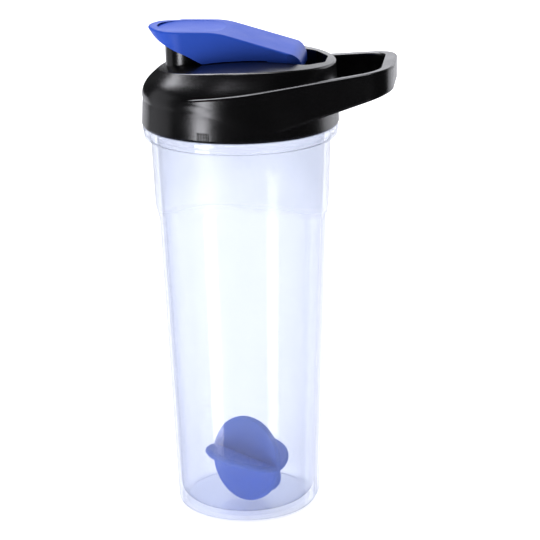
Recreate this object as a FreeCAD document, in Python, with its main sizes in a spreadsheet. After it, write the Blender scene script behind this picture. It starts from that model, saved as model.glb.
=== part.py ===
import FreeCAD, Part
import math
import os

import Sketcher

# Protein shaker bottle: a threaded cup, a screw lid with its carry loop and spout in one moulding, a hinged
# flip cap with its pin and seal, a lid gasket and a loose mixing ball.
# The origin is the centre of the base on the surface the bottle stands on. +Z is up and +X points along the
# carry loop. Every length is in millimetres.

SIZES = {
    # cup
    "base_radius": 35.2,          # outside radius at the foot
    "body_taper": 0.0375,         # growth of the outside radius for each millimetre of height
    "body_wall": 1.6,
    "foot_fillet": 2.4,
    "foot_width": 5.0,            # ring that the cup stands on
    "foot_recess": 1.2,           # the middle of the base is lifted by this much
    "floor_thickness": 1.8,
    "floor_fillet": 7.0,
    "collar_step": 1.5,           # how far the collar stands out from the lower body
    "step_ledge": 0.25,           # square part of the step, where its slope meets the lower body
    "step_drop": 46.5,            # from the flange's top down to the arched step at the two sides of the cup
    "step_arch": 10.1,            # the arch rises by this much at the front and back
    "step_bevel": 6.7,            # height of the sloping step face
    "strip_width": 11.0,          # raised scale strip under the carry loop
    "strip_step": 1.2,            # how far the strip stands out from the lower body
    "strip_bottom": 3.7,
    "flange_top": 194.9,
    "flange_height": 5.6,
    "flange_inset": 0.4,          # the flange is this much smaller than the lid's lower edge
    "neck_height": 17.1,
    "neck_wall": 1.8,
    # screw thread
    "thread_depth": 1.3,
    "thread_gap": 0.6,            # crest to root, at each side
    "thread_lead": 10.0,          # rise in one turn, shared by the two starts
    "thread_turns": 0.75,
    "thread_root": 2.2,           # height of a ridge where it joins the wall
    "thread_crest": 1.2,
    "neck_thread_start": 3.4,     # above the flange
    # lid
    "lid_gap": 0.35,              # between the flange and the skirt
    "skirt_edge": 2.6,            # wall at the lower edge of the skirt
    "skirt_wall": 1.8,            # wall at the top of the skirt
    "skirt_height": 19.6,
    "shoulder_blend": 6.0,        # the skirt starts to round over this far below the shoulder
    "shoulder_rise": 16.3,
    "shoulder_front": 16.3,       # how far the shoulder runs in towards the spout side
    "shoulder_side": 11.6,
    "shoulder_back": 0.6,
    "crown_height": 34.1,         # top of the crowned deck above the skirt's lower edge
    "crown_inset": 36.0,          # from the back of the skirt in to where the deck is highest
    "crown_long_radius": 185.0,   # the deck's arc seen from the side
    "crown_wide_radius": 318.0,   # the deck's arc seen from the front
    "deck_fillet": 1.2,
    "deck_wall": 2.4,
    "lip_height": 4.0,            # inner lip that holds the gasket and enters the mouth
    "lip_wall": 1.6,
    "lip_gap": 0.9,
    "gasket_height": 2.0,
    "gasket_gap": 0.2,
    # spout
    "spout_inset": 22.55,         # from the front of the skirt to the spout's axis
    "spout_radius": 11.3,
    "spout_wall": 1.9,
    "spout_height": 41.3,         # above the skirt's lower edge
    # carry loop
    "band_grow": 0.4,             # the band's radius over the skirt's
    "band_shift": 1.4,            # the band's centre, towards the loop, so it fades into the skirt
    "band_low": 3.1,              # lower edge of the band above the skirt's lower edge
    "band_top": 22.1,             # upper edge of the band at the axis, above the skirt's lower edge
    "band_rise": 0.1235,          # upward slope of the upper edge
    "arm_bend": 28.0,             # from the back of the skirt in to where the lower edge starts to climb
    "arm_climb": 0.30,
    "loop_end_width": 51.0,
    "finger_gap": 22.0,
    "loop_bar": 6.0,
    "arm_thickness": 4.6,
    "loop_corner": 17.5,
    "gap_corner": 13.0,
    "loop_edge": 1.1,
    # hinge
    "hinge_inset": 23.05,         # from the back of the skirt in to the hinge
    "hinge_height": 30.0,         # above the skirt's lower edge
    "pin_radius": 1.5,
    "pin_play": 0.05,
    "pin_seat": 3.6,              # length of the pin in each side wall
    "barrel_radius": 7.5,
    "hinge_clear": 0.8,
    "pocket_length": 26.5,
    "pocket_end": 8.0,            # half width of the pocket at its far end
    "pocket_taper": 8.0,
    "pocket_corner": 7.0,
    # flip cap
    "cap_half_width": 19.0,
    "cap_wall": 1.8,
    "cap_height": 47.1,           # above the skirt's lower edge
    "cap_gap": 0.35,              # over the deck
    "nose_reach": 15.3,           # from the spout's axis to the front of the cap's skirt
    "beak_reach": 20.0,           # from the spout's axis to the tip of the lifted beak
    "beak_lift": 0.8,
    "nose_level": 6.0,            # the nose flares to the beak over this height
    "cap_bend": 16.0,             # behind the spout's axis, where the top starts to slope down
    "cap_bend_radius": 40.0,
    "cap_edge": 0.9,
    "cap_corner": 9.0,            # upright corners at the hinge end
    "nose_low": 42.2,             # lower edge of the cap at its nose, above the skirt's lower edge
    "nose_high": 36.2,            # the same beside the spout's axis
    "cheek_back": 13.0,           # behind the spout's axis, where the lower edge comes down to the hinge
    "dish_length": 21.0,
    "dish_width": 15.5,
    "dish_depth": 1.0,
    # spout seal
    "seal_radius": 12.0,
    "seal_height": 2.6,
    "seal_gap": 0.2,              # between the seal and the spout while the cap is closed
    "seal_plug": 0.7,             # how far the middle of the seal enters the spout
    "plug_clear": 0.8,
    "socket_wall": 1.2,
    # mixing ball
    "ball_radius": 21.4,
    "disc_thickness": 3.2,
    "disc_bevel": 1.0,
    "fin_inset": 0.3,             # the fins' radius is this much smaller than the disc's
    "fin_front": 83.0,            # degrees from the disc round its diameter to each fin
    "fin_low": 212.0,
    "fin_rear": 289.0,
    "ball_offset_x": 1.2,
    "ball_offset_y": -11.8,
    "ball_rest": 0.35,            # above the floor of the cup
    "ball_turn": -33.0,           # yaw, pitch and roll of the disc, in degrees
    "ball_tilt": 4.3,
    "ball_lean": 81.8,
}

Z_AXIS = FreeCAD.Vector(0, 0, 1)
Y_AXIS = FreeCAD.Vector(0, 1, 0)
X_AXIS = FreeCAD.Vector(1, 0, 0)
ORIGIN = FreeCAD.Vector(0, 0, 0)
# Planes for sketches: the drawing's axes are world X and Z on SIDE, world X and Y on PLAN.
SIDE = FreeCAD.Rotation(X_AXIS, 90)
PLAN = FreeCAD.Rotation()
ROUND_THE_Y_AXIS = FreeCAD.Rotation(X_AXIS, -90)
ROUND_THE_X_AXIS = FreeCAD.Rotation(Y_AXIS, 90)
STARTS = 2
OVERLAP = 0.4          # how far pieces of one moulding run into each other before they are fused
REACH = 120.0          # longer than anything that is cut or trimmed
TALL = 3 * REACH       # taller than the whole bottle, for prisms that stand on the ground plane
SHOULDER_SHARES = (0.11, 0.4, 0.7, 1.0)
CROWN_SPAN = 70.0      # half length of the deck's arc, wider than the lid
CROWN_SWEEP = 40.0     # degrees that the deck's arc is turned through
CORNER_MARGIN = 0.3    # keeps the cap's rounded corners off a tangent to its side and its barrel

doc = FreeCAD.newDocument("shaker_bottle")
sheet = doc.addObject("Spreadsheet::Sheet", "dims")


def fill_sheet():
    """Write every driving size to the sheet, with its name as the alias of its cell."""
    for row, (name, number) in enumerate(SIZES.items(), start=1):
        sheet.set(f"A{row}", name)
        sheet.set(f"B{row}", str(number))
        sheet.setAlias(f"B{row}", name)
    doc.recompute()


def value(expression):
    """The number that an expression over the sheet gives."""
    result = sheet.evalExpression(expression)
    return float(getattr(result, "Value", result))


def size(name):
    return value(f"dims.{name}")


# Heights and radii that several pieces share, as expressions over the sheet.
RIM = "(dims.flange_top + dims.neck_height)"
MOUTH = f"(dims.base_radius + dims.body_taper * {RIM} - dims.body_wall)"
NECK = f"({MOUTH} + dims.neck_wall)"
LID_BORE = f"({NECK} + dims.thread_depth + dims.thread_gap)"
LID_BASE = "(dims.flange_top + dims.lid_gap)"
SKIRT_LOW = f"({LID_BORE} + dims.skirt_edge)"
SKIRT_TOP = f"({LID_BORE} + dims.skirt_wall)"
FLANGE = f"({SKIRT_LOW} - dims.flange_inset)"
SEAT = f"({RIM} + dims.gasket_height)"
LIP = f"({MOUTH} - dims.lip_gap)"
LIP_INSIDE = f"({LIP} - dims.lip_wall)"
SHOULDER = f"({LID_BASE} + dims.skirt_height)"
CROWN_TOP = f"({LID_BASE} + dims.crown_height)"
HINGE_Z = f"({LID_BASE} + dims.hinge_height)"
SPOUT_TOP = f"({LID_BASE} + dims.spout_height)"
CAP_TOP = f"({LID_BASE} + dims.cap_height)"
SPOUT_X = f"(dims.spout_inset - {SKIRT_TOP})"
HINGE_X = f"({SKIRT_TOP} - dims.hinge_inset)"
CAP_BEND_X = f"({SPOUT_X} + dims.cap_bend)"
STEP = "(dims.flange_top - dims.step_drop)"
BAND = f"({SKIRT_TOP} + dims.band_grow)"
LOOP_END = f"({SKIRT_TOP} + dims.finger_gap + dims.loop_bar)"
PIN_HALF = "(dims.cap_half_width + dims.hinge_clear + dims.pin_seat)"
FLOOR = "(dims.foot_recess + dims.floor_thickness)"


def body_radius(height):
    """Outside radius of the lower body at a height, both as expressions."""
    return f"(dims.base_radius + dims.body_taper * ({height}))"


def feature(kind, name, **bindings):
    """Add an object and bind its properties to the sheet."""
    item = doc.addObject(kind, name)
    for prop, expression in bindings.items():
        item.setExpression(prop, expression)
    return item


def place(item, rotation=None, x="0", y="0", z="0"):
    """Turn an object and bind its position to the sheet."""
    item.Placement = FreeCAD.Placement(ORIGIN, rotation or FreeCAD.Rotation())
    for axis, expression in (("x", x), ("y", y), ("z", z)):
        if expression != "0":
            item.setExpression(f".Placement.Base.{axis}", expression)
    return item


def outline(name, rotation, corners, arc=None):
    """A sketch of straight edges through corners, whose two coordinates are bound to the sheet.

    Where arc gives a radius, the edge from the third corner to the fourth bulges upwards at that radius.
    """
    sketch = doc.addObject("Sketcher::SketchObject", name)
    sketch.Placement = FreeCAD.Placement(ORIGIN, rotation)
    points = [FreeCAD.Vector(value(across), value(up), 0) for across, up in corners]
    count = len(points)
    for index in range(count):
        start, end = points[index], points[(index + 1) % count]
        if arc and index == 2:
            sketch.addGeometry(rising_arc(start, end, value(arc)))
        else:
            sketch.addGeometry(Part.LineSegment(start, end))
    for index in range(count):
        sketch.addConstraint(Sketcher.Constraint("Coincident", index, 2, (index + 1) % count, 1))
    for index, (across, up) in enumerate(corners):
        bind_coordinate(sketch, index, "DistanceX", across, -2)
        bind_coordinate(sketch, index, "DistanceY", up, -1)
    if arc:
        datum = sketch.addConstraint(Sketcher.Constraint("Radius", 2, value(arc)))
        sketch.setExpression(f"Constraints[{datum}]", arc)
    return sketch


def rising_arc(start, end, radius):
    """The shorter arc of a radius that bulges upwards from a right-hand point to a left-hand one."""
    half = (start.x - end.x) / 2
    centre = FreeCAD.Vector((start.x + end.x) / 2, start.y - math.sqrt(radius**2 - half**2), 0)
    opening = math.asin(half / radius)
    circle = Part.Circle(centre, Z_AXIS, radius)
    return Part.ArcOfCircle(circle, math.pi / 2 - opening, math.pi / 2 + opening)


def bind_coordinate(sketch, index, kind, expression, axis):
    """Hold the first point of an edge on an axis, or at a distance that the sheet gives."""
    if expression == "0":
        sketch.addConstraint(Sketcher.Constraint("PointOnObject", index, 1, axis))
        return
    datum = sketch.addConstraint(Sketcher.Constraint(kind, -1, 1, index, 1, value(expression)))
    sketch.setExpression(f"Constraints[{datum}]", expression)


def turned(name, corners):
    """A solid of revolution about Z; corners are pairs of radius and height."""
    solid = doc.addObject("Part::Revolution", name)
    solid.Source = outline(name + "_profile", SIDE, corners)
    solid.Axis = Z_AXIS
    solid.Solid = True
    return solid


def extruded(name, rotation, corners, length, direction, reversed_length=0.0):
    """A prism over an outline, along a direction and also backwards by the reversed length."""
    solid = doc.addObject("Part::Extrusion", name)
    solid.Base = outline(name + "_profile", rotation, corners)
    solid.DirMode = "Custom"
    solid.Dir = direction
    solid.LengthFwd = length
    solid.LengthRev = reversed_length
    solid.Solid = True
    return solid


def cut(name, base, tool):
    item = doc.addObject("Part::Cut", name)
    item.Base = base
    item.Tool = tool
    return item


def common(name, *shapes):
    item = doc.addObject("Part::MultiCommon", name)
    item.Shapes = list(shapes)
    return item


def fused(name, *shapes):
    item = doc.addObject("Part::MultiFuse", name)
    item.Shapes = list(shapes)
    return item


def eased(kind, name, base, chosen, first, second=None):
    """A fillet or chamfer on the edges of base for which chosen(edge) is true."""
    doc.recompute()
    item = doc.addObject(kind, name)
    item.Base = base
    item.Edges = [
        (number, first, first if second is None else second)
        for number, edge in enumerate(base.Shape.Edges, start=1)
        if chosen(edge)
    ]
    return item


def is_ring(edge, height, tolerance=0.05):
    """True for an edge that lies flat at a height."""
    box = edge.BoundBox
    return abs(box.ZMin - height) < tolerance and abs(box.ZMax - height) < tolerance


def threads(name, radius, start, outward):
    """The ridges of a two-start thread on a wall of the given radius, from a start height."""
    crest = f"({radius} + dims.thread_depth)" if outward else f"({radius} - dims.thread_depth)"
    root = f"({radius} - {OVERLAP})" if outward else f"({radius} + {OVERLAP})"
    ridges = []
    for number in range(STARTS):
        path = feature(
            "Part::Helix",
            f"{name}_path_{number}",
            Pitch="dims.thread_lead",
            Height="dims.thread_lead * dims.thread_turns",
            Radius=radius,
        )
        section = outline(
            f"{name}_section_{number}",
            SIDE,
            [
                (root, "-dims.thread_root / 2"),
                (root, "dims.thread_root / 2"),
                (crest, "dims.thread_crest / 2"),
                (crest, "-dims.thread_crest / 2"),
            ],
        )
        ridge = doc.addObject("Part::Sweep", f"{name}_ridge_{number}")
        ridge.Sections = [section]
        ridge.Spine = (path, ["Edge1"])
        ridge.Solid = True
        ridge.Frenet = True
        turn = FreeCAD.Rotation(Z_AXIS, number * 360 / STARTS)
        ridges.append(place(ridge, turn, z=start))
    return ridges


def make_cup():
    """The cup: tapered body, frosted collar over an arched step, scale strip, flange and threaded neck."""
    flange_low = "(dims.flange_top - dims.flange_height)"
    collar = f"({body_radius(flange_low)} + dims.collar_step)"
    shell = turned(
        "cup_shell",
        [
            ("0", "dims.foot_recess"),
            ("dims.base_radius - dims.foot_width", "dims.foot_recess"),
            ("dims.base_radius - dims.foot_width + dims.foot_recess", "0"),
            ("dims.base_radius", "0"),
            (body_radius(flange_low), flange_low),
            (f"{collar} + 0.5", flange_low),
            (f"{FLANGE} - 1.0", f"{flange_low} + 0.4"),
            (f"{FLANGE} - 0.4", f"{flange_low} + 1.0"),
            (f"{FLANGE} - 0.4", f"{flange_low} + 2.4"),
            (f"{FLANGE} - 1.1", f"{flange_low} + 2.8"),
            (f"{FLANGE} - 1.1", f"{flange_low} + 3.1"),
            (FLANGE, f"{flange_low} + 3.6"),
            (FLANGE, "dims.flange_top - 0.4"),
            (f"{FLANGE} - 0.4", "dims.flange_top"),
            (NECK, "dims.flange_top"),
            (NECK, f"{RIM} - 0.5"),
            (f"{NECK} - 0.5", RIM),
            (f"{MOUTH} + 0.4", RIM),
            (MOUTH, f"{RIM} - 0.4"),
            (f"{body_radius(FLOOR)} - dims.body_wall", FLOOR),
            ("0", FLOOR),
        ],
    )
    inside_corner = value(f"{body_radius(FLOOR)} - dims.body_wall")
    floor = eased(
        "Part::Fillet",
        "cup_floor",
        shell,
        lambda edge: is_ring(edge, value(FLOOR)) and edge.BoundBox.XMax > inside_corner - 1,
        size("floor_fillet"),
    )
    foot = eased(
        "Part::Fillet",
        "cup_foot",
        floor,
        lambda edge: is_ring(edge, 0) and edge.BoundBox.XMax > size("base_radius") - 1,
        size("foot_fillet"),
    )
    step_edge = f"({STEP} - 1)"
    ring = turned(
        "cup_collar_ring",
        [
            (f"{body_radius(step_edge)} - dims.body_wall / 2", step_edge),
            (f"{body_radius(step_edge)} + dims.collar_step", step_edge),
            (f"{collar}", flange_low + " + 0.2"),
            (f"{body_radius(flange_low)} - dims.body_wall / 2", flange_low + " + 0.2"),
        ],
    )
    # The step is level where a large lying cylinder cuts the collar, so it arches over the front and back.
    arch_span = f"({body_radius(STEP)})"
    arch_radius = f"(({arch_span}^2 + dims.step_arch^2) / (2 * dims.step_arch))"
    arch = feature("Part::Cylinder", "cup_arch", Radius=arch_radius)
    arch.Height = 2 * REACH
    arch.Placement = FreeCAD.Placement(ORIGIN, ROUND_THE_X_AXIS)
    place(arch, ROUND_THE_X_AXIS, x=f"-{REACH}", z=f"{STEP} + {arch_radius}")
    arched = common("cup_arched_ring", ring, arch)
    outer = value(f"{body_radius(STEP)} + dims.collar_step")
    top = value(STEP) + size("step_arch") + 2 * size("collar_step")
    bevelled = eased(
        "Part::Chamfer",
        "cup_collar",
        arched,
        lambda edge: edge.BoundBox.ZMax < top
        and edge.BoundBox.ZLength > 1
        and math.hypot(edge.Vertexes[0].X, edge.Vertexes[0].Y) > outer - 0.5,
        size("step_bevel"),
        size("collar_step") - size("step_ledge"),
    )
    strip_top = f"({STEP} + 2 * dims.step_bevel)"
    strip_ring = turned(
        "cup_strip_ring",
        [
            (f"{body_radius('dims.strip_bottom')} - dims.body_wall / 2", "dims.strip_bottom"),
            (f"{body_radius('dims.strip_bottom')} + dims.strip_step", "dims.strip_bottom"),
            (f"{body_radius(strip_top)} + dims.strip_step", strip_top),
            (f"{body_radius(strip_top)} - dims.body_wall / 2", strip_top),
        ],
    )
    strip_box = feature("Part::Box", "cup_strip_box", Width="dims.strip_width")
    strip_box.Length = REACH
    strip_box.Height = TALL
    place(strip_box, y="-dims.strip_width / 2")
    strip = common("cup_strip", strip_ring, strip_box)
    ridges = threads("neck_thread", NECK, "dims.flange_top + dims.neck_thread_start", True)
    return fused("cup", foot, bevelled, strip, *ridges)


def make_crown(name, grow):
    """The block whose doubly curved top is the lid's deck, raised or lowered by an expression."""
    top = f"({CROWN_TOP} + {grow})"
    left = f"({SKIRT_TOP} - dims.crown_inset - {CROWN_SPAN})"
    right = f"({SKIRT_TOP} - dims.crown_inset + {CROWN_SPAN})"
    sag = f"(dims.crown_long_radius - sqrt(dims.crown_long_radius^2 - {CROWN_SPAN}^2))"
    section = outline(
        name + "_section",
        SIDE,
        [
            (left, "dims.flange_top / 2"),
            (right, "dims.flange_top / 2"),
            (right, f"{top} - {sag}"),
            (left, f"{top} - {sag}"),
        ],
        arc="dims.crown_long_radius",
    )
    crown = doc.addObject("Part::Revolution", name)
    crown.Source = section
    crown.Axis = X_AXIS
    crown.setExpression(".Base.z", f"{top} - dims.crown_wide_radius")
    crown.Angle = CROWN_SWEEP
    crown.Symmetric = True
    crown.Solid = True
    return crown


def oval_section(name, base_radius, inset, share, z):
    """An oval at a height, a share of the way from the round skirt to the top of the shoulder."""
    length = f"({base_radius} - {share} * (dims.shoulder_front + dims.shoulder_back) / 2 - {inset})"
    width = f"({base_radius} - {share} * dims.shoulder_side - {inset})"
    oval = feature("Part::Ellipse", name, MajorRadius=length, MinorRadius=width)
    return place(oval, x=f"{share} * (dims.shoulder_front - dims.shoulder_back) / 2", z=z)


def ring_section(name, radius, z):
    ring = feature("Part::Circle", name, Radius=radius)
    return place(ring, z=z)


def lofted(name, sections, ruled):
    loft = doc.addObject("Part::Loft", name)
    loft.Sections = sections
    loft.Solid = True
    loft.Ruled = ruled
    return loft


def make_shoulder():
    """The solid that rounds over from the skirt and tapers to the oval deck."""
    sections = [
        ring_section("shoulder_foot", SKIRT_TOP, f"{SHOULDER} - dims.shoulder_blend"),
        ring_section("shoulder_wall", SKIRT_TOP, f"{SHOULDER} - dims.shoulder_blend / 3"),
    ]
    for number, share in enumerate(SHOULDER_SHARES):
        height = f"{SHOULDER} + {share} * dims.shoulder_rise"
        sections.append(oval_section(f"shoulder_oval_{number}", SKIRT_TOP, "0", share, height))
    return lofted("lid_shoulder", sections, False)


def make_vault():
    """The hollow under the shoulder and the deck."""
    start = f"({SEAT} - 0.5)"
    oval = oval_section("vault_oval", LIP_INSIDE, "dims.deck_wall", 1.0, f"{SHOULDER} + dims.shoulder_rise")
    hollow = lofted("lid_hollow", [ring_section("vault_ring", LIP_INSIDE, start), oval], True)
    return common("lid_vault", hollow, make_crown("lid_vault_crown", "-dims.deck_wall"))


def make_loop():
    """The carry loop: two arms that run off a band round the skirt, joined by a bar."""
    end_y = "(dims.loop_end_width / 2)"
    reach = f"({LOOP_END} - dims.band_shift)"
    # The arms leave the band along its tangents from the corners of the loop.
    leave = f"(atan({end_y} / {reach}) + acos({BAND} / sqrt({end_y}^2 + {reach}^2)))"
    root_x = f"(dims.band_shift + {BAND} * cos({leave}))"
    root_y = f"({BAND} * sin({leave}))"
    outer = loop_prism("loop_outer", (root_x, root_y), (LOOP_END, end_y), size("loop_corner"))
    disc = feature("Part::Cylinder", "band_disc", Radius=BAND)
    disc.Height = TALL
    place(disc, x="dims.band_shift")
    block = common("loop_block", fused("loop_outside", outer, disc), loop_side())
    rounded = eased(
        "Part::Fillet",
        "loop_round",
        block,
        lambda edge: edge.BoundBox.XLength + edge.BoundBox.YLength > 1,
        size("loop_edge"),
    )
    inner_end = f"({LOOP_END} - dims.loop_bar)"
    widening = f"({root_y} - {end_y}) / ({LOOP_END} - {root_x})"
    inner_y = f"({end_y} - dims.arm_thickness + {widening} * dims.loop_bar)"
    inner_root = (root_x, f"({root_y} - dims.arm_thickness)")
    inner = loop_prism("loop_inner", inner_root, (inner_end, inner_y), size("gap_corner"))
    core = feature("Part::Cylinder", "band_core", Radius=f"{LID_BORE} + {OVERLAP}")
    core.Height = TALL
    opened = cut("loop_open", rounded, fused("loop_inside", inner, core))
    inner_x = value(inner_end)
    return eased(
        "Part::Fillet",
        "loop",
        opened,
        lambda edge: is_gap_edge(edge, inner_x),
        size("loop_edge"),
    )


def loop_prism(name, root, end, corner):
    """A tall prism whose sides run from two root points to two end points, with rounded end corners."""
    root_x, root_y = root
    end_x, end_y = end
    corners = [(root_x, f"-{root_y}"), (end_x, f"-{end_y}"), (end_x, end_y), (root_x, root_y)]
    prism = extruded(name, PLAN, corners, TALL, Z_AXIS)
    far = value(end_x)
    return eased(
        "Part::Fillet",
        name + "_round",
        prism,
        lambda edge: edge.BoundBox.XMin > far - 0.1 and edge.BoundBox.ZLength > REACH,
        corner,
    )


def is_gap_edge(edge, inner_x):
    """True for an upper or lower edge of the finger gap, clear of the skirt."""
    box = edge.BoundBox
    outside_skirt = box.XMax > value(LID_BORE) + 4
    return outside_skirt and box.XMax < inner_x + 0.1 and box.XLength + box.YLength > 1


def loop_side():
    """The loop's side view as a solid across its width: the underside climbs from a bend."""
    start = f"-{SKIRT_TOP}"
    end = f"({LOOP_END} + 1)"
    arm_bend = f"({SKIRT_TOP} - dims.arm_bend)"
    low = f"({LID_BASE} + dims.band_low)"
    top = f"{LID_BASE} + dims.band_top + dims.band_rise"
    corners = [
        (start, low),
        (arm_bend, low),
        (end, f"{low} + dims.arm_climb * ({end} - {arm_bend})"),
        (end, f"{top} * {end}"),
        (start, f"{top} * {start}"),
    ]
    side = extruded("loop_side", SIDE, corners, REACH, Y_AXIS, REACH)
    bend = value(arm_bend)
    level = value(low)
    return eased(
        "Part::Fillet",
        "loop_side_round",
        side,
        lambda edge: abs(edge.BoundBox.XMin - bend) < 0.1 and is_ring(edge, level),
        REACH / 3,
    )


def make_lid():
    """The screw lid with its spout, hinge pocket and carry loop."""
    skirt = turned(
        "lid_skirt",
        [
            ("0", LID_BASE),
            (f"{SKIRT_LOW} - 1.0", LID_BASE),
            (SKIRT_LOW, f"{LID_BASE} + 1.3"),
            (f"({SKIRT_LOW} + 2 * {SKIRT_TOP}) / 3", f"{LID_BASE} + 11"),
            (SKIRT_TOP, f"{SHOULDER} - dims.shoulder_blend"),
            ("0", f"{SHOULDER} - dims.shoulder_blend"),
        ],
    )
    block = fused("lid_block", skirt, make_shoulder())
    crowned = common("lid_crowned", block, make_crown("lid_crown", "0"))
    height = value(SHOULDER)
    deck = eased(
        "Part::Fillet",
        "lid_deck",
        crowned,
        lambda edge: edge.BoundBox.ZMin > height + 4 and edge.BoundBox.YLength > 5,
        size("deck_fillet"),
    )
    spout = feature("Part::Cylinder", "spout", Radius="dims.spout_radius", Height=f"{SPOUT_TOP} - {SHOULDER}")
    place(spout, x=SPOUT_X, z=SHOULDER)
    solid = fused("lid_solid", deck, make_loop(), spout)
    return cut_lid(solid)


def cut_lid(solid):
    """Take the inside, the spout's bore and the hinge pocket out of the lid and add its thread."""
    bore = feature("Part::Cylinder", "lid_bore", Radius=LID_BORE, Height=f"{SEAT} - {LID_BASE} + 1")
    place(bore, z=f"{LID_BASE} - 1")
    lip = turned(
        "lid_lip",
        [
            (LIP_INSIDE, f"{SEAT} - dims.lip_height - dims.gasket_height"),
            (LIP, f"{SEAT} - dims.lip_height - dims.gasket_height"),
            (LIP, f"{SEAT} + 1"),
            (LIP_INSIDE, f"{SEAT} + 1"),
        ],
    )
    vault = make_vault()
    guard = feature("Part::Box", "hinge_guard", Width=f"2 * {PIN_HALF} + 1")
    guard.Length = REACH
    guard.Height = REACH
    guard_x = f"({HINGE_X} - dims.barrel_radius - dims.hinge_clear - dims.deck_wall)"
    place(guard, x=guard_x, y=f"-{PIN_HALF} - 0.5", z=SEAT)
    cavity = cut("lid_cavity", fused("lid_inside", cut("lid_bore_open", bore, lip), vault), guard)
    throat = feature("Part::Cylinder", "spout_bore", Radius="dims.spout_radius - dims.spout_wall")
    throat.Height = REACH
    place(throat, x=SPOUT_X, z=f"{SEAT} - 0.2")
    half = "(dims.cap_half_width + dims.hinge_clear)"
    front = f"({HINGE_X} - dims.barrel_radius - dims.hinge_clear)"
    back = f"({front} + dims.pocket_length)"
    pocket_prism = extruded(
        "hinge_pocket_prism",
        PLAN,
        [
            (front, f"-{half}"),
            (f"{back} - dims.pocket_taper", f"-{half}"),
            (back, "-dims.pocket_end"),
            (back, "dims.pocket_end"),
            (f"{back} - dims.pocket_taper", half),
            (front, half),
        ],
        REACH,
        Z_AXIS,
    )
    place(pocket_prism.Base, z=f"{HINGE_Z} - dims.barrel_radius - dims.hinge_clear")
    front_x = value(front)
    pocket = eased(
        "Part::Fillet",
        "hinge_pocket",
        pocket_prism,
        lambda edge: edge.BoundBox.ZLength > REACH / 2 and edge.BoundBox.XMin > front_x + 1,
        size("pocket_corner"),
    )
    pin_hole = feature("Part::Cylinder", "pin_hole", Radius="dims.pin_radius", Height=f"2 * {PIN_HALF}")
    place(pin_hole, ROUND_THE_Y_AXIS, x=HINGE_X, y=f"-{PIN_HALF}", z=HINGE_Z)
    opened = cut("lid_opened", solid, fused("lid_tools", cavity, throat, pocket, pin_hole))
    # With two starts, a quarter of the lead puts the lid's ridges midway between the neck's.
    start = "(dims.flange_top + dims.neck_thread_start + dims.thread_lead / 4)"
    ridges = threads("lid_thread", LID_BORE, start, False)
    return fused("screw_lid", opened, *ridges)


def nose_outline(reach, half_width, rear, height):
    """A level wire: an elliptical nose round the spout, straight sides and a square rear."""
    spout = value(SPOUT_X)
    steps = 8
    points = []
    for step in range(steps + 1):
        angle = math.radians(-90 + 180 * step / steps)
        points.append(FreeCAD.Vector(spout - reach * math.cos(angle), half_width * math.sin(angle), height))
    nose = Part.BSplineCurve()
    nose.interpolate(Points=points, InitialTangent=-X_AXIS, FinalTangent=X_AXIS)
    left = FreeCAD.Vector(rear, half_width, height)
    right = FreeCAD.Vector(rear, -half_width, height)
    edges = [
        nose.toShape(),
        Part.LineSegment(points[-1], left).toShape(),
        Part.LineSegment(left, right).toShape(),
        Part.LineSegment(right, points[0]).toShape(),
    ]
    return Part.Wire(edges)


def cap_block(inset, rear):
    """The cap's flaring outline as a solid, pulled in by an inset."""
    half = size("cap_half_width") - inset
    low = value(f"{CAP_TOP} - 40")
    level = value(f"{CAP_TOP} - dims.nose_level")
    high = value(f"{CAP_TOP} + 2")
    nose = size("nose_reach") - inset
    flare_slope = (size("beak_reach") - size("nose_reach")) / (size("nose_level") + size("beak_lift"))
    flare = flare_slope * (high - level)
    lower = Part.makeLoft([nose_outline(nose, half, rear, z) for z in (low, level)], True, True)
    upper = Part.makeLoft(
        [nose_outline(nose, half, rear, level), nose_outline(nose + flare, half, rear, high)], True, True
    )
    return lower.fuse(upper).removeSplitter()


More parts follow.
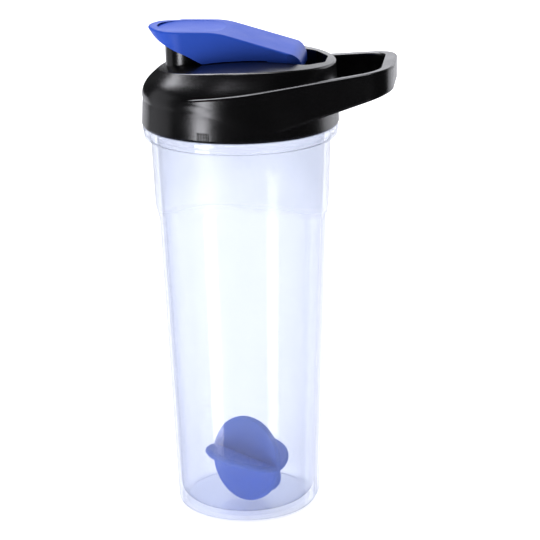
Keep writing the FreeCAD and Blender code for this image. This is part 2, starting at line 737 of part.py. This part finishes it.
def cap_side(drop):
    """The cap's side view as a solid across its width, with the top and hinge end pulled in by a drop."""
    top = value(CAP_TOP) - drop
    pin_x = value(HINGE_X)
    pin_z = value(HINGE_Z)
    radius = size("barrel_radius") - drop
    bend = FreeCAD.Vector(value(CAP_BEND_X), 0, top)
    to_pin = FreeCAD.Vector(pin_x, 0, pin_z) - bend
    slope = math.atan2(to_pin.z, to_pin.x) + math.asin(radius / to_pin.Length)
    touch = FreeCAD.Vector(pin_x + radius * -math.sin(slope), 0, pin_z + radius * math.cos(slope))
    rear = FreeCAD.Vector(pin_x + radius, 0, pin_z)
    under = FreeCAD.Vector(pin_x, 0, pin_z - radius)
    front = FreeCAD.Vector(pin_x - radius, 0, pin_z)
    base = value(LID_BASE)
    spout = value(SPOUT_X)
    nose_low = base + size("nose_low")
    nose_high = base + size("nose_high")
    beak = spout - size("beak_reach")
    corners = [
        front,
        FreeCAD.Vector(spout + size("cheek_back"), 0, pin_z),
        FreeCAD.Vector(spout + 1, 0, nose_high),
        FreeCAD.Vector(spout - size("nose_reach") + 3, 0, nose_low - 0.6),
        FreeCAD.Vector(spout - size("nose_reach"), 0, nose_low + 1),
        FreeCAD.Vector(beak - 5, 0, nose_low + 1),
        FreeCAD.Vector(beak - 5, 0, top + size("beak_lift") * 1.4),
        FreeCAD.Vector(spout - 8, 0, top),
        bend,
        touch,
    ]
    edges = [Part.LineSegment(a, b).toShape() for a, b in zip(corners, corners[1:])]
    middle = FreeCAD.Vector(pin_x, 0, pin_z)
    quarters = ((touch, 35, rear), (rear, 135, under), (under, 225, front))
    for start, degrees, end in quarters:
        angle = math.radians(degrees)
        halfway = middle + FreeCAD.Vector(math.sin(angle), 0, math.cos(angle)) * radius
        edges.append(Part.Arc(start, halfway, end).toShape())
    face = Part.Face(Part.Wire(edges))
    solid = face.extrude(FreeCAD.Vector(0, 2 * REACH, 0))
    solid.translate(FreeCAD.Vector(0, -REACH, 0))
    bends = [
        edge
        for edge in solid.Edges
        if abs(edge.BoundBox.XMin - value(CAP_BEND_X)) < 0.1
        and abs(edge.BoundBox.ZMin - top) < 0.1
        and edge.BoundBox.YLength > REACH
    ]
    return solid.makeFillet(size("cap_bend_radius"), bends)


def make_cap():
    """The flip cap: a hollow beak-nosed cover with a solid hinge barrel and a socket for the seal."""
    pin_x = value(HINGE_X)
    pin_z = value(HINGE_Z)
    radius = size("barrel_radius")
    half = size("cap_half_width")
    wall = size("cap_wall")
    spout = FreeCAD.Vector(value(SPOUT_X), 0, 0)
    rear = pin_x + radius + 2
    shape = cap_block(0, rear).common(cap_side(0))
    shape = shape.makeFillet(size("cap_edge"), top_edges(shape))
    dish = Part.makeSphere(1)
    stretch = FreeCAD.Matrix()
    stretch.scale(size("dish_length"), size("dish_width"), size("dish_depth"))
    dish = dish.transformGeometry(stretch)
    dish.translate(FreeCAD.Vector(value(SPOUT_X) + 4, 0, value(CAP_TOP)))
    shape = shape.cut(dish)
    hollow_end = pin_x - radius - size("hinge_clear")
    hollow = cap_block(wall, hollow_end).common(cap_side(wall + size("dish_depth")))
    shape = shape.cut(hollow)
    seal_top = value(f"{SPOUT_TOP} + dims.seal_gap + dims.seal_height")
    socket_radius = size("seal_radius") + size("socket_wall")
    socket = Part.makeCylinder(socket_radius, value(CAP_TOP) - seal_top, spout + Z_AXIS * (seal_top - 1))
    socket = socket.cut(Part.makeCylinder(size("seal_radius"), 1, spout + Z_AXIS * (seal_top - 1)))
    shape = shape.fuse(socket.common(cap_block(wall / 2, hollow_end)).common(cap_side(wall / 2)))
    deck = doc.getObject("cap_deck").Shape
    keep = Part.makeBox(hollow_end + REACH, 2 * REACH, TALL, FreeCAD.Vector(-REACH, -REACH, 0))
    shape = shape.cut(deck.common(keep))
    bore_end = FreeCAD.Vector(pin_x, -REACH, pin_z)
    bore = Part.makeCylinder(size("pin_radius") + size("pin_play"), 2 * REACH, bore_end, Y_AXIS)
    shape = shape.cut(bore)
    for side in (-1, 1):
        shape = shape.cut(corner_tool(side))
    cap = doc.addObject("Part::Feature", "flip_cap")
    cap.Shape = shape.removeSplitter()
    return cap


def corner_tool(side):
    """What is cut away to round one upright corner of the cap's hinge end; side is -1 or 1."""
    corner = size("cap_corner")
    x = value(HINGE_X) + size("barrel_radius") + CORNER_MARGIN - corner
    y = side * (size("cap_half_width") + CORNER_MARGIN - corner)
    block = Part.makeBox(REACH, REACH, TALL, FreeCAD.Vector(x, y if side > 0 else y - REACH, 0))
    return block.cut(Part.makeCylinder(corner, TALL, FreeCAD.Vector(x, y, 0)))


def top_edges(shape):
    """The crease round the top of the cap."""
    top = value(CAP_TOP)
    half = size("cap_half_width")
    chosen = []
    for edge in shape.Edges:
        middle = edge.valueAt((edge.FirstParameter + edge.LastParameter) / 2)
        on_side = abs(abs(middle.y) - half) < 0.02 and middle.z > value(HINGE_Z)
        sloping = edge.BoundBox.XLength > 2 and middle.x < value(HINGE_X)
        above = middle.z > top - 0.3 - max(0.0, middle.x - value(CAP_BEND_X)) * 0.35
        if on_side and sloping and above:
            chosen.append(edge)
        elif middle.x < value(SPOUT_X) - 5 and middle.z > top - 0.3:
            chosen.append(edge)
    return chosen


def make_seal():
    """The soft seal in the cap: a disc with a raised middle that enters the spout."""
    disc = feature("Part::Cylinder", "seal_disc", Radius="dims.seal_radius", Height="dims.seal_height")
    place(disc, x=SPOUT_X, z=f"{SPOUT_TOP} + dims.seal_gap")
    plug = feature(
        "Part::Cone",
        "seal_plug",
        Radius1="dims.spout_radius - dims.spout_wall - dims.plug_clear - dims.seal_plug",
        Radius2="dims.spout_radius - dims.spout_wall - dims.plug_clear",
        Height="dims.seal_plug + dims.seal_gap",
    )
    place(plug, x=SPOUT_X, z=f"{SPOUT_TOP} - dims.seal_plug")
    return fused("spout_seal", disc, plug)


def make_pin():
    """The hinge pin, held in the lid's side walls."""
    pin = feature("Part::Cylinder", "pin_rod", Radius="dims.pin_radius", Height=f"2 * {PIN_HALF}")
    place(pin, ROUND_THE_Y_AXIS, x=HINGE_X, y=f"-{PIN_HALF}", z=HINGE_Z)
    return eased(
        "Part::Chamfer",
        "hinge_pin",
        pin,
        lambda edge: edge.BoundBox.YLength < 0.1,
        size("pin_radius") / 5,
    )


def make_gasket():
    """The ring that the lid presses on the cup's rim."""
    return turned(
        "lid_gasket",
        [
            (f"{LIP} + dims.gasket_gap", RIM),
            (f"{LID_BORE} - dims.gasket_gap", RIM),
            (f"{LID_BORE} - dims.gasket_gap", SEAT),
            (f"{LIP} + dims.gasket_gap", SEAT),
        ],
    )


def ball_disc(name, radius):
    """A thin level disc with a bevelled rim, round the origin."""
    half = "(dims.disc_thickness / 2)"
    return turned(
        name,
        [
            ("0", f"-{half}"),
            (f"{radius} - dims.disc_bevel", f"-{half}"),
            (radius, f"-{half} + dims.disc_bevel"),
            (radius, f"{half} - dims.disc_bevel"),
            (f"{radius} - dims.disc_bevel", half),
            ("0", half),
        ],
    )


def make_ball():
    """The mixing ball: a thin disc with three half discs as fins, all on one diameter."""
    discs = [ball_disc("ball_disc", "dims.ball_radius")]
    for name in ("fin_front", "fin_low", "fin_rear"):
        fin = ball_disc(f"ball_{name}", "(dims.ball_radius - dims.fin_inset)")
        fin.Angle = 180
        discs.append(place(fin, FreeCAD.Rotation(X_AXIS, size(name))))
    ball = fused("mixing_ball", *discs)
    attitude = FreeCAD.Rotation(size("ball_turn"), size("ball_tilt"), size("ball_lean"))
    height = f"{FLOOR} + dims.ball_rest + dims.ball_radius"
    return place(ball, attitude, "dims.ball_offset_x", "dims.ball_offset_y", height)


def check_and_write(pieces):
    """Stop on any failed object or faulty shape, then write each piece to its own file."""
    doc.recompute()
    for item in doc.Objects:
        for state in item.State:
            if state in ("Invalid", "Error"):
                raise RuntimeError(f"{item.Name} did not compute")
    for piece in pieces:
        shape = piece.Shape
        if shape.isNull() or not shape.isValid() or not shape.Solids:
            raise RuntimeError(f"{piece.Label} has no valid shape")
    os.makedirs("parts", exist_ok=True)
    for piece in pieces:
        piece.Shape.exportStep(f"parts/{piece.Label}.step")
        print(piece.Label, len(piece.Shape.Solids), round(piece.Shape.Volume, 1))


fill_sheet()
make_crown("cap_deck", "dims.cap_gap")
doc.recompute()
sub_parts = [
    make_cup(),
    make_lid(),
    make_cap(),
    make_seal(),
    make_pin(),
    make_gasket(),
    make_ball(),
]
check_and_write(sub_parts)
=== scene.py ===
import math

import bpy
from mathutils import Matrix, Vector


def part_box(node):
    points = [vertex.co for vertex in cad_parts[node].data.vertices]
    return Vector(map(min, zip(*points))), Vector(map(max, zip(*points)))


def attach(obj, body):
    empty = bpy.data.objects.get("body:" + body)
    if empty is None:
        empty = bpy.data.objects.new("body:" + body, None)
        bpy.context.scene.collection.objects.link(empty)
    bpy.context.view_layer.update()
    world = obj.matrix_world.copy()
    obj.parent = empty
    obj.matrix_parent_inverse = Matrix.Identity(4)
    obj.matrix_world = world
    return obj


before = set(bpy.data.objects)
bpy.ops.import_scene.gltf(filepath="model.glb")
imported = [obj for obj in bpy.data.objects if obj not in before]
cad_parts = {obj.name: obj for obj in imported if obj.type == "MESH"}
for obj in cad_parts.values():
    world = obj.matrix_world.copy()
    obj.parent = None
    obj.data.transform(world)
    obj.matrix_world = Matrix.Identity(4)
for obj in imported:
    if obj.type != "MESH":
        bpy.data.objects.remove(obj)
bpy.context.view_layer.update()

# Looks for the protein shaker bottle: camera, studio, a material for each CAD node, and one added piece, the
# grip ribs on the lid. Everything is in metres in the row frame: +Z up, +X towards the carry loop.

MM = 0.001

# Camera
LENS_MM = 134.376
SENSOR_MM = 36.0
VIEW_DISTANCE = 1.0
VIEW_ELEVATION = math.radians(16.93)
VIEW_AZIMUTH = math.radians(7.0)      # from -Y towards +X
VIEW_ROLL = math.radians(-0.95)
AIM = Vector((12.97, 1.5, 120.0)) * MM

# Light: narrow low panels at the camera's left and right, broad ones round the back, and two high up. For
# each: azimuth from +X and elevation in degrees, distance, width, height, glow, and the height of the
# point that it is aimed at.
PANEL_COLOUR = (0.94, 0.945, 1.0)
PANELS = {
    "key_strip": (-128.0, 0.0, 1.0, 0.30, 0.68, 7.8, -0.08),
    "fill_strip": (-41.0, 0.0, 1.0, 0.28, 0.24, 2.0, -0.30),
    "rim_panel": (42.0, 0.0, 1.2, 0.7, 1.5, 1.5, 0.15),
    "left_panel": (170.0, 0.0, 1.3, 0.9, 1.5, 0.4, 0.15),
    "back_panel": (84.0, 0.0, 1.6, 1.2, 1.3, 1.3, 0.75),
    "low_panel": (100.0, 0.0, 1.6, 3.0, 0.9, 0.95, -0.47),
    "high_panel": (130.0, 50.0, 1.4, 1.0, 0.8, 7.0, 0.2),
    "top_panel": (-90.0, 88.0, 1.4, 0.8, 0.8, 5.5, 0.2),
}
SURROUND_COLOUR = (0.97, 0.985, 1.0, 1.0)
SURROUND_LIGHT = 0.03                 # strength on the object; the lens sees the surround at full strength
WHITE = (1.0, 1.0, 1.0, 1.0)
FLOOR_HALF = 6.0
FLOOR_COLOUR = (0.9, 0.9, 0.9, 1.0)
FLOOR_ROUGHNESS = 0.9
FLOOR_GLOW = 0.7

# Shared texture settings
NOISE_LOW = 0.3                       # most of a noise texture's values lie between these two
NOISE_HIGH = 0.7
EDGE = 0.5 * MM                       # a sharp change between two finishes
BEVEL = 6.0 * MM                      # a change spread over the sloping step


# ---- studio ----------------------------------------------------------------------------------------------

def facing(away):
    """The turn that points an object's -Z axis back along a direction."""
    return (-away).to_track_quat("-Z", "Y").to_matrix().to_4x4()


def make_camera():
    """The camera, turned to face the aim."""
    data = bpy.data.cameras.new("camera")
    data.lens = LENS_MM
    data.sensor_width = SENSOR_MM
    camera = bpy.data.objects.new("camera", data)
    bpy.context.scene.collection.objects.link(camera)
    level = math.cos(VIEW_ELEVATION)
    away = Vector((
        level * math.sin(VIEW_AZIMUTH),
        -level * math.cos(VIEW_AZIMUTH),
        math.sin(VIEW_ELEVATION),
    ))
    roll = Matrix.Rotation(VIEW_ROLL, 4, "Z")
    camera.matrix_world = Matrix.Translation(AIM + away * VIEW_DISTANCE) @ facing(away) @ roll
    bpy.context.scene.camera = camera


def area_light(name, azimuth, elevation, distance, width, height, glow, aim_height):
    """A soft panel that faces a point on the bottle's axis. Glow is the panel's own brightness."""
    data = bpy.data.lights.new(name, "AREA")
    data.shape = "RECTANGLE"
    data.size = width
    data.size_y = height
    data.energy = glow * math.pi * width * height
    data.color = PANEL_COLOUR
    light = bpy.data.objects.new(name, data)
    turn = math.radians(azimuth)
    lift = math.radians(elevation)
    away = Vector((math.cos(lift) * math.cos(turn), math.cos(lift) * math.sin(turn), math.sin(lift)))
    aim = Vector((0, 0, aim_height))
    light.matrix_world = Matrix.Translation(aim + away * distance) @ facing(away)
    bpy.context.scene.collection.objects.link(light)


def make_world():
    """A white surround that the lens sees at full strength and that hardly lights the object."""
    world = bpy.data.worlds.new("studio")
    bpy.context.scene.world = world
    world.use_nodes = True
    tree = world.node_tree
    tree.nodes.clear()
    seen = add(tree, "ShaderNodeBackground")
    seen.inputs["Color"].default_value = WHITE
    seen.inputs["Strength"].default_value = 1.0
    light = add(tree, "ShaderNodeBackground")
    light.inputs["Color"].default_value = SURROUND_COLOUR
    light.inputs["Strength"].default_value = SURROUND_LIGHT
    path = add(tree, "ShaderNodeLightPath")
    out = add(tree, "ShaderNodeOutputWorld")
    both = mixed_shader(tree, light.outputs["Background"], seen.outputs["Background"])
    tree.links.new(path.outputs["Is Camera Ray"], both.inputs["Fac"])
    tree.links.new(both.outputs["Shader"], out.inputs["Surface"])


def make_floor():
    """A large pale floor that doesn't hide the low parts of the panels or show in the shiny walls."""
    corners = [
        (-FLOOR_HALF, -FLOOR_HALF, 0),
        (FLOOR_HALF, -FLOOR_HALF, 0),
        (FLOOR_HALF, FLOOR_HALF, 0),
        (-FLOOR_HALF, FLOOR_HALF, 0),
    ]
    mesh = bpy.data.meshes.new("floor")
    mesh.from_pydata(corners, [], [(0, 1, 2, 3)])
    floor = bpy.data.objects.new("floor", mesh)
    bpy.context.scene.collection.objects.link(floor)
    material, tree, shader = new_material("pale_floor")
    shader.inputs["Base Color"].default_value = FLOOR_COLOUR
    shader.inputs["Roughness"].default_value = FLOOR_ROUGHNESS
    shader.inputs["Emission Color"].default_value = WHITE
    shader.inputs["Emission Strength"].default_value = FLOOR_GLOW
    mesh.materials.append(material)
    floor.visible_glossy = False
    floor.visible_shadow = False


# ---- material tools --------------------------------------------------------------------------------------

def new_material(name):
    """A node material with one Principled shader; returns the material, its tree and the shader."""
    material = bpy.data.materials.new(name)
    material.use_nodes = True
    tree = material.node_tree
    shader = tree.nodes["Principled BSDF"]
    return material, tree, shader


def add(tree, kind, **settings):
    """A node with its properties set."""
    node = tree.nodes.new(kind)
    for name, setting in settings.items():
        setattr(node, name, setting)
    return node


def object_point(tree):
    """The point on the surface in the object's own axes, which are the row frame."""
    return add(tree, "ShaderNodeTexCoord").outputs["Object"]


def noise(tree, point, scale, detail=3.0, roughness=0.5, stretch=None):
    """A noise value over the object, in features per metre, stretched along an axis if asked."""
    if stretch:
        mapping = add(tree, "ShaderNodeMapping")
        mapping.inputs["Scale"].default_value = stretch
        tree.links.new(point, mapping.inputs["Vector"])
        point = mapping.outputs["Vector"]
    texture = add(tree, "ShaderNodeTexNoise")
    texture.inputs["Scale"].default_value = scale
    texture.inputs["Detail"].default_value = detail
    texture.inputs["Roughness"].default_value = roughness
    tree.links.new(point, texture.inputs["Vector"])
    return texture.outputs["Fac"]


def ramp(tree, value, low, high, start=0.0, end=1.0):
    """Maps a value between low and high to start and end, and holds it outside them."""
    node = add(tree, "ShaderNodeMapRange")
    node.inputs["From Min"].default_value = low
    node.inputs["From Max"].default_value = high
    node.inputs["To Min"].default_value = start
    node.inputs["To Max"].default_value = end
    tree.links.new(value, node.inputs["Value"])
    return node.outputs["Result"]


def spread(tree, texture, start=0.0, end=1.0):
    """Stretches a noise texture to run from start to end."""
    return ramp(tree, texture, NOISE_LOW, NOISE_HIGH, start, end)


def power(tree, value, exponent):
    node = add(tree, "ShaderNodeMath", operation="POWER")
    tree.links.new(value, node.inputs[0])
    node.inputs[1].default_value = exponent
    return node.outputs["Value"]


def product(tree, first, second):
    node = add(tree, "ShaderNodeMath", operation="MULTIPLY")
    tree.links.new(first, node.inputs[0])
    tree.links.new(second, node.inputs[1])
    return node.outputs["Value"]


def scaled_sum(tree, value, factor, other, **settings):
    """value * factor + other, where the factor is a number and the other a node's output."""
    node = add(tree, "ShaderNodeMath", operation="MULTIPLY_ADD", **settings)
    tree.links.new(value, node.inputs[0])
    node.inputs[1].default_value = factor
    tree.links.new(other, node.inputs[2])
    return node.outputs["Value"]


def mixed_colour(tree, share, first, second):
    """A colour between two, by a share."""
    node = add(tree, "ShaderNodeMix", data_type="RGBA")
    tree.links.new(share, node.inputs["Factor"])
    node.inputs["A"].default_value = (*first, 1.0)
    node.inputs["B"].default_value = (*second, 1.0)
    return node.outputs["Result"]


def mixed_shader(tree, first, second):
    """A mix of two shaders; the caller sets or links its Fac, the second one's share."""
    node = add(tree, "ShaderNodeMixShader")
    tree.links.new(first, node.inputs[1])
    tree.links.new(second, node.inputs[2])
    return node


def bump(tree, height, distance, under=None):
    """A normal with a bump of some height; under is an earlier bump's normal."""
    node = add(tree, "ShaderNodeBump")
    node.inputs["Distance"].default_value = distance
    node.inputs["Strength"].default_value = 1.0
    tree.links.new(height, node.inputs["Height"])
    if under:
        tree.links.new(under, node.inputs["Normal"])
    return node.outputs["Normal"]


def scuffs(tree, point):
    """Fine rubbed streaks, from 0 to 1, mostly 0."""
    streaks = noise(tree, point, 900.0, 2.0, 0.6, stretch=(1.0, 1.0, 0.06))
    patches = noise(tree, point, 45.0, 2.0)
    return product(tree, ramp(tree, streaks, 0.62, 0.8), ramp(tree, patches, 0.5, 0.7))


# ---- materials -------------------------------------------------------------------------------------------

SCUFF_POLISH = -0.03                  # change of roughness where moulded plastic is rubbed


def satin_plastic(name, dark, light, roughness, grain, grain_height, specular):
    """Moulded plastic: a fine even texture, cloudy gloss, faint streaks and a slight change of tone."""
    material, tree, shader = new_material(name)
    point = object_point(tree)
    tone = noise(tree, point, 30.0)
    tree.links.new(mixed_colour(tree, spread(tree, tone), dark, light), shader.inputs["Base Color"])
    cloudy = noise(tree, point, 70.0, detail=4.0)
    base_gloss = spread(tree, cloudy, roughness - 0.03, roughness + 0.04)
    gloss = scaled_sum(tree, scuffs(tree, point), SCUFF_POLISH, base_gloss)
    tree.links.new(gloss, shader.inputs["Roughness"])
    shader.inputs["Specular IOR Level"].default_value = specular
    fine = noise(tree, point, grain, 2.0, 0.6)
    tree.links.new(bump(tree, fine, grain_height), shader.inputs["Normal"])
    return material


def silicone(name, tone):
    """Soft seal rubber: matte, faintly cloudy, with a dusting of fine specks."""
    material, tree, shader = new_material(name)
    point = object_point(tree)
    darker = tuple(0.9 * channel for channel in tone)
    cloud = spread(tree, noise(tree, point, 120.0))
    tree.links.new(mixed_colour(tree, cloud, darker, tone), shader.inputs["Base Color"])
    dust = noise(tree, point, 400.0, detail=2.0)
    tree.links.new(spread(tree, dust, 0.45, 0.6), shader.inputs["Roughness"])
    shader.inputs["Subsurface Weight"].default_value = 0.15
    shader.inputs["Subsurface Radius"].default_value = (2 * MM, 2 * MM, 2 * MM)
    specks = noise(tree, point, 1800.0, detail=2.0)
    tree.links.new(bump(tree, specks, 0.02 * MM), shader.inputs["Normal"])
    return material


CLEAR_TINT = (0.955, 0.967, 0.99)     # light that gets through one face of the cup's wall
FLANGE_TINT = (0.93, 0.94, 0.965)
POLISHED_MILK = (0.62, 0.66, 0.80)    # colour of the milky share, in the polished wall and in the frosted one
FROSTED_MILK = (0.74, 0.78, 0.90)
MILK_PASSED_ON = 0.6                  # how much of the milky share's light goes through the wall
HAZE_LOW = 0.135                      # milky share of the wall, seen face on
HAZE_HIGH = 0.165
FROST_HAZE = 0.12
GRAZING_HAZE = 0.25
POLISHED_ROUGHNESS = 0.09
FROSTED_ROUGHNESS = 0.42
CUP_SCUFF = 0.12
FACE_ON_GLOSS = 0.04
GRAZING_GLOSS = 0.96


def cup_plastic():
    """Clear to milky plastic: polished below the arched step, frosted above it, denser towards grazing."""
    material, tree, shader = new_material("cup_plastic")
    tree.nodes.remove(shader)
    point = object_point(tree)
    split = add(tree, "ShaderNodeSeparateXYZ")
    tree.links.new(point, split.inputs["Vector"])
    matte = frosted_share(tree, split)
    layer = add(tree, "ShaderNodeLayerWeight")
    layer.inputs["Blend"].default_value = 0.5
    grazing = layer.outputs["Facing"]
    wall = cup_wall(tree, point, split.outputs["Z"], matte, grazing)
    shine = cup_shine(tree, point, matte)
    # The reflected share rises with the fifth power, the same on both sides of the wall.
    gloss = add(tree, "ShaderNodeMath", operation="MULTIPLY_ADD")
    tree.links.new(power(tree, grazing, 5.0), gloss.inputs[0])
    gloss.inputs[1].default_value = GRAZING_GLOSS
    gloss.inputs[2].default_value = FACE_ON_GLOSS
    coated = mixed_shader(tree, wall, shine)
    tree.links.new(gloss.outputs["Value"], coated.inputs["Fac"])
    tree.links.new(coated.outputs["Shader"], tree.nodes["Material Output"].inputs["Surface"])
    return material


def frosted_share(tree, split):
    """How frosted the wall is: 1 from the arched step up to the flange, 0 below and above that."""
    # The step arches up towards the front and back, where the distance from the XZ plane is greatest.
    square = product(tree, split.outputs["Y"], split.outputs["Y"])
    above_arch = scaled_sum(tree, square, -STEP_ARCH / STEP_RADIUS**2, split.outputs["Z"])
    frosted = ramp(tree, above_arch, STEP_LOW, STEP_LOW + BEVEL)
    below_flange = ramp(tree, split.outputs["Z"], FLANGE_LOW, FLANGE_LOW + EDGE, 1.0, 0.0)
    return product(tree, frosted, below_flange)


def cup_wall(tree, point, height, matte, grazing):
    """The wall itself: clear, with a milky share that varies with the flow of the moulding."""
    flow = noise(tree, point, 26.0, stretch=(1.0, 1.0, 0.25))
    haze = scaled_sum(tree, matte, FROST_HAZE, spread(tree, flow, HAZE_LOW, HAZE_HIGH))
    share = scaled_sum(tree, power(tree, grazing, 2.0), GRAZING_HAZE, haze, use_clamp=True)
    clear = add(tree, "ShaderNodeBsdfTransparent")
    in_flange = ramp(tree, height, FLANGE_LOW, FLANGE_LOW + EDGE)
    tree.links.new(mixed_colour(tree, in_flange, CLEAR_TINT, FLANGE_TINT), clear.inputs["Color"])
    milk_colour = mixed_colour(tree, matte, POLISHED_MILK, FROSTED_MILK)
    milk = add(tree, "ShaderNodeBsdfDiffuse")
    tree.links.new(milk_colour, milk.inputs["Color"])
    glow = add(tree, "ShaderNodeBsdfTranslucent")
    tree.links.new(milk_colour, glow.inputs["Color"])
    milky = mixed_shader(tree, milk.outputs["BSDF"], glow.outputs["BSDF"])
    milky.inputs["Fac"].default_value = MILK_PASSED_ON
    wall = mixed_shader(tree, clear.outputs["BSDF"], milky.outputs["Shader"])
    tree.links.new(share, wall.inputs["Fac"])
    return wall.outputs["Shader"]


def cup_shine(tree, point, matte):
    """The wall's reflections: slightly wavy, rough and grained where it is frosted, rubbed in places."""
    shine = add(tree, "ShaderNodeBsdfGlossy")
    shine.inputs["Color"].default_value = WHITE
    polish = ramp(tree, matte, 0.0, 1.0, POLISHED_ROUGHNESS, FROSTED_ROUGHNESS)
    worn = scaled_sum(tree, scuffs(tree, point), CUP_SCUFF, polish)
    tree.links.new(worn, shine.inputs["Roughness"])
    waves = noise(tree, point, 55.0, 2.0, 0.4, stretch=(1.0, 1.0, 0.2))
    wavy = bump(tree, waves, 0.02 * MM)
    grain = product(tree, noise(tree, point, 2600.0, detail=2.0), matte)
    tree.links.new(bump(tree, grain, 0.03 * MM, under=wavy), shine.inputs["Normal"])
    return shine.outputs["BSDF"]


# ---- geometry --------------------------------------------------------------------------------------------

LID_LOW, LID_HIGH = (Vector(corner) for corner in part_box("screw_lid"))
FLANGE_LOW = LID_LOW.z - 5.9 * MM     # under the two beads below the lid
STEP_LOW = LID_LOW.z - 46.0 * MM      # the arched step at the cup's two sides
STEP_ARCH = 10.1 * MM
STEP_RADIUS = 40.8 * MM
SKIRT_RADIUS = (LID_HIGH.y - LID_LOW.y) / 2
SKIRT_LEAN = 0.05                     # the skirt draws in by this much for each unit of height
RIB_COUNT = 8
RIB_FIRST = math.radians(-107.4)
RIB_PITCH = math.radians(0.95)
RIB_START = 1.0 * MM                  # above the skirt's lower edge
RIB_HEIGHT = 4.0 * MM
RIB_WIDTH = 0.5 * MM
RIB_DEPTH = 0.35 * MM
RIB_STEPS = 4                         # flats round each rib


def rib_bar(low, high):
    """Points and faces of a closed, rounded upright bar that stands out along +Y from the XZ plane."""
    points = []
    faces = []
    ring = RIB_STEPS + 1
    for z in (low, high):
        for step in range(ring):
            angle = math.pi * step / RIB_STEPS
            points.append((RIB_WIDTH / 2 * math.cos(angle), RIB_DEPTH * math.sin(angle), z))
    for step in range(RIB_STEPS):
        faces.append((step, step + 1, ring + step + 1, ring + step))
    faces.append((0, ring, 2 * ring - 1, ring - 1))
    faces.append(tuple(reversed(range(ring))))
    faces.append(tuple(range(ring, 2 * ring)))
    return points, faces


def make_grip_ribs(material):
    """A short patch of fine upright ribs on the skirt of the lid, near its lower edge."""
    low = LID_LOW.z + RIB_START
    points = []
    faces = []
    for number in range(RIB_COUNT):
        turn = RIB_FIRST + number * RIB_PITCH
        bar_points, bar_faces = rib_bar(low, low + RIB_HEIGHT)
        first = len(points)
        for x, y, z in bar_points:
            radius = SKIRT_RADIUS - SKIRT_LEAN * (z - LID_LOW.z) + y
            points.append((
                radius * math.cos(turn) - x * math.sin(turn),
                radius * math.sin(turn) + x * math.cos(turn),
                z,
            ))
        faces.extend(tuple(first + index for index in face) for face in bar_faces)
    mesh = bpy.data.meshes.new("grip_ribs")
    mesh.from_pydata(points, [], faces)
    mesh.materials.append(material)
    ribs = bpy.data.objects.new("grip_ribs", mesh)
    bpy.context.scene.collection.objects.link(ribs)
    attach(ribs, "lid_body")


def dress(node, material):
    """Gives a CAD node one material in all its slots."""
    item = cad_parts[node]
    for slot in item.material_slots:
        slot.material = material
    if not item.material_slots:
        item.data.materials.append(material)


# ---- the scene -------------------------------------------------------------------------------------------

BLACK = dict(
    dark=(0.0012, 0.0012, 0.0015),
    light=(0.002, 0.002, 0.0024),
    roughness=0.22,
    grain=2400.0,
    grain_height=0.03 * MM,
    specular=0.8,
)
PIN_BLACK = dict(
    dark=(0.010, 0.010, 0.011),
    light=(0.016, 0.016, 0.017),
    roughness=0.3,
    grain=900.0,
    grain_height=0.01 * MM,
    specular=0.5,
)
CAP_BLUE = dict(
    dark=(0.024, 0.085, 0.52),
    light=(0.029, 0.096, 0.58),
    roughness=0.36,
    grain=2400.0,
    grain_height=0.03 * MM,
    specular=0.12,
)
BALL_BLUE = dict(
    dark=(0.045, 0.14, 0.62),
    light=(0.055, 0.16, 0.70),
    roughness=0.4,
    grain=900.0,
    grain_height=0.02 * MM,
    specular=0.25,
)
SEAL_WHITE = (0.78, 0.79, 0.8)


def main():
    bpy.context.scene.view_settings.view_transform = "Standard"
    make_camera()
    for name, settings in PANELS.items():
        area_light(name, *settings)
    make_world()
    make_floor()
    dress("cup", cup_plastic())
    black = satin_plastic("black_plastic", **BLACK)
    dress("screw_lid", black)
    dress("hinge_pin", satin_plastic("pin_plastic", **PIN_BLACK))
    dress("flip_cap", satin_plastic("blue_plastic", **CAP_BLUE))
    dress("mixing_ball", satin_plastic("ball_plastic", **BALL_BLUE))
    make_grip_ribs(black)
    dress("spout_seal", silicone("seal_rubber", SEAL_WHITE))
    dress("lid_gasket", silicone("gasket_rubber", SEAL_WHITE))


main()
